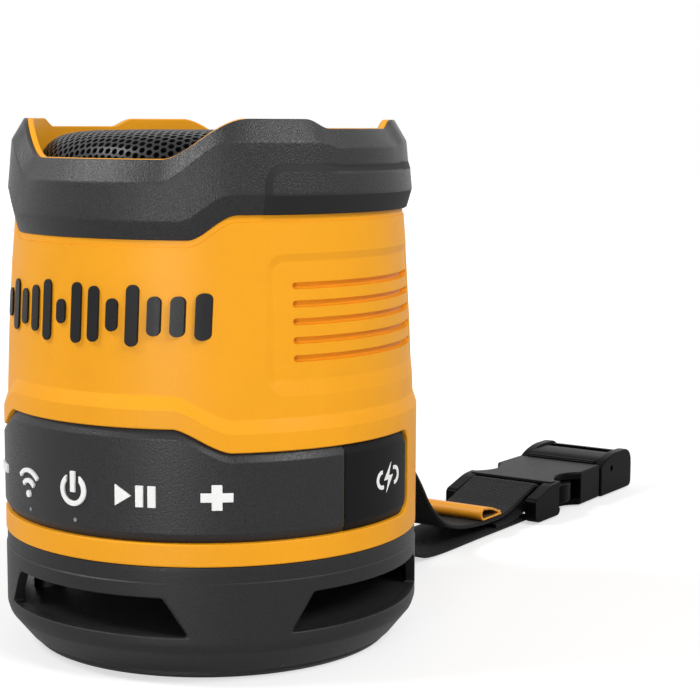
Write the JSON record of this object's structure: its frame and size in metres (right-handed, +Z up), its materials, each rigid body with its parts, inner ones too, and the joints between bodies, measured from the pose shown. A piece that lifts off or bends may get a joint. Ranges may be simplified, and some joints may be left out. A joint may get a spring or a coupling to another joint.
{
  "type": "bluetooth speaker",
  "caption": "Rugged round portable speaker with a rubber bumper, control band, sound windows in its base, and a webbing strap with a side-release buckle.",
  "frame": {"origin": "centre of the foot pad's underside, on the table", "axes": "+Z up, -Y is the front with the power key, +X is the side with the charge-port door, +Y is the back with the strap"},
  "size_m": [0.1107, 0.291, 0.137],
  "materials": {
    "rubber_black": "moulded, fine grain",
    "bumper_black": "moulded thermoplastic rubber, spark-textured",
    "housing_yellow": "moulded, satin",
    "housing_black": "moulded, fine texture",
    "emblem_black": "moulded, satin",
    "symbol_white": "moulded",
    "grille_black": "perforated, powder-coated",
    "steel": "zinc-plated",
    "magnet": "sintered ferrite",
    "copper": "enamelled winding",
    "cone_black": "pressed",
    "spider_cloth": "impregnated cloth",
    "board_green": "solder mask",
    "chip_black": "moulded",
    "cell_wrap": "heat-shrink sleeve",
    "webbing_black": "woven",
    "tab_yellow": "coated woven strip",
    "buckle_black": "moulded acetal"
  },
  "bodies": {
    "speaker": {"foot_pad": "rubber_black", "base_housing": "housing_black", "base_deflector": "housing_black", "base_screws": "steel", "deflector_screws": "steel", "main_housing": "housing_yellow", "emblem_bars": "emblem_black", "bumper_ring": "bumper_black", "rim_grille": "grille_black", "grille_ring": "housing_black", "driver_baffle": "housing_black", "baffle_screws": "steel", "driver_basket": "steel", "driver_gasket": "rubber_black", "driver_screws": "steel", "driver_back_plate": "steel", "driver_magnet": "magnet", "driver_top_plate": "steel", "driver_spider": "spider_cloth", "driver_surround": "rubber_black", "control_panel": "rubber_black", "status_lights": "symbol_white", "keypad_carrier": "housing_black", "keypad_flex": "board_green", "tact_switches": "chip_black", "carrier_screws": "steel", "main_board": "board_green", "board_parts": "chip_black", "board_screws": "steel", "charge_socket": "steel", "charge_board": "board_green", "battery_tray": "housing_black", "battery_cells": "cell_wrap", "tray_screws": "steel", "radiator_frame": "housing_black", "radiator_surround": "rubber_black", "radiator_screws": "steel", "strap_bar": "steel"},
    "key_minus": {"key_minus": "symbol_white"},
    "key_wireless": {"key_wireless": "symbol_white"},
    "key_power": {"key_power": "symbol_white"},
    "key_play": {"key_play": "symbol_white"},
    "key_plus": {"key_plus": "symbol_white"},
    "door": {"port_door": "rubber_black", "door_symbol": "symbol_white"},
    "cone": {"driver_cone": "cone_black", "driver_dust_cap": "cone_black", "driver_voice_coil": "copper"},
    "radiator": {"radiator_cone": "cone_black", "radiator_weight": "steel"},
    "strap": {"strap_webbing": "webbing_black", "strap_tab": "tab_yellow", "buckle_sleeve": "buckle_black"},
    "plug": {"buckle_plug": "buckle_black", "buckle_prongs": "buckle_black"}
  },
  "joints": [
    {"name": "minus_press", "type": "slide", "parent": "speaker", "child": "key_minus", "axis": [0.6225, 0.7826, 0], "range_m": [0, 0.0005], "stiffness_N_per_m": 300},
    {"name": "wireless_press", "type": "slide", "parent": "speaker", "child": "key_wireless", "axis": [0.314, 0.9494, 0], "range_m": [0, 0.0005], "stiffness_N_per_m": 300},
    {"name": "power_press", "type": "slide", "parent": "speaker", "child": "key_power", "axis": [0, 1, 0], "range_m": [0, 0.0005], "stiffness_N_per_m": 300},
    {"name": "play_press", "type": "slide", "parent": "speaker", "child": "key_play", "axis": [-0.3123, 0.95, 0], "range_m": [0, 0.0005], "stiffness_N_per_m": 300},
    {"name": "plus_press", "type": "slide", "parent": "speaker", "child": "key_plus", "axis": [-0.6307, 0.776, 0], "range_m": [0, 0.0005], "stiffness_N_per_m": 300},
    {"name": "door_hinge", "type": "hinge", "parent": "speaker", "child": "door", "pos_m": [0.0531, -0.0147, 0.0464], "axis": [0, 0, -1], "range_deg": [0, 110]},
    {"name": "cone_stroke", "type": "slide", "parent": "speaker", "child": "cone", "axis": [0, 0, 1], "range_m": [-0.002, 0.002], "stiffness_N_per_m": 1500, "deforming": ["driver_surround", "driver_spider"]},
    {"name": "radiator_stroke", "type": "slide", "parent": "speaker", "child": "radiator", "axis": [0, 0, 1], "range_m": [-0.003, 0.003], "stiffness_N_per_m": 1500, "deforming": ["radiator_surround"]},
    {"name": "strap_swing", "type": "hinge", "parent": "speaker", "child": "strap", "pos_m": [0, 0.057, 0.056], "axis": [1, 0, 0], "range_deg": [0, 95]},
    {"name": "buckle_release", "type": "slide", "parent": "strap", "child": "plug", "axis": [0, 1, 0], "range_m": [0, 0.04], "deforming": ["buckle_prongs"]}
  ]
}
